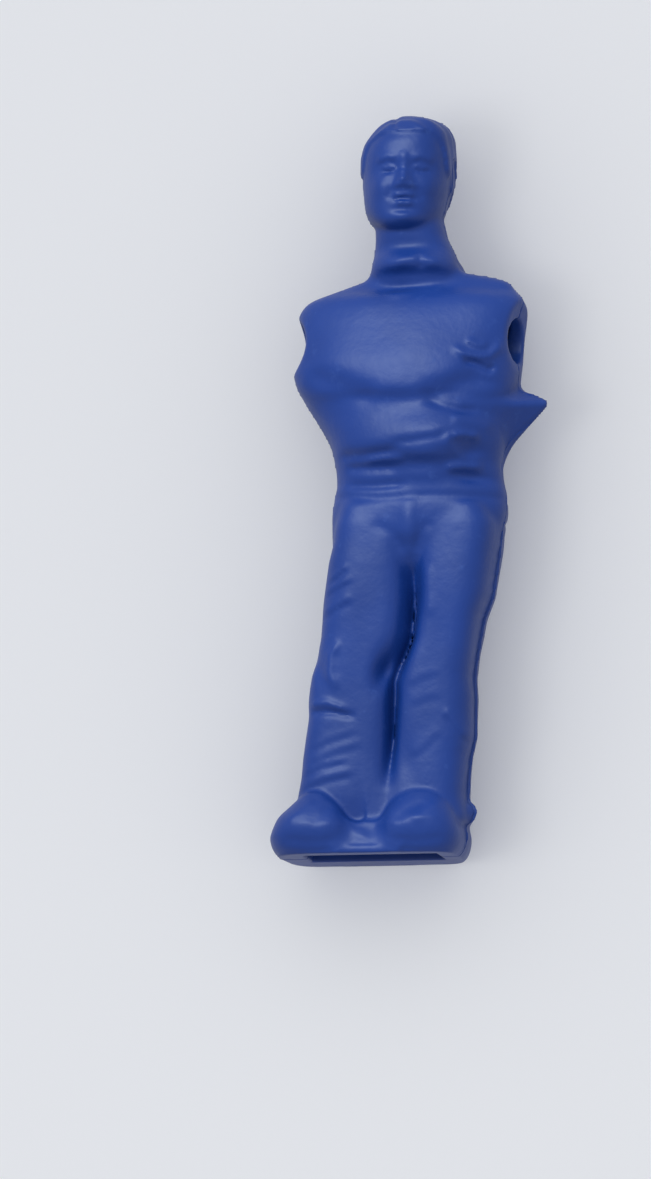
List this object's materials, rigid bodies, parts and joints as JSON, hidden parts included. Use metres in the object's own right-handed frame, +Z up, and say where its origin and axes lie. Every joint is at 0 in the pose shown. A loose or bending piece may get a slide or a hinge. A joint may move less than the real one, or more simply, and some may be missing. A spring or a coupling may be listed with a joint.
{
  "type": "toy figure body",
  "caption": "Small standing workman figure in moulded plastic, arms missing, with a bore through the shoulders and a tab slot between the soles.",
  "frame": {"origin": "middle of the slot's mouth, on the plane of the soles, midway between the slot's two long sides", "axes": "+Z up through the head, the figure faces -Y, its own left side is +X"},
  "size_m": [0.0132, 0.0061, 0.0362],
  "materials": {
    "blue_plastic": "semi-gloss, as moulded"
  },
  "bodies": {
    "root": {"front_shell": "blue_plastic", "back_shell": "blue_plastic"}
  },
  "joints": []
}
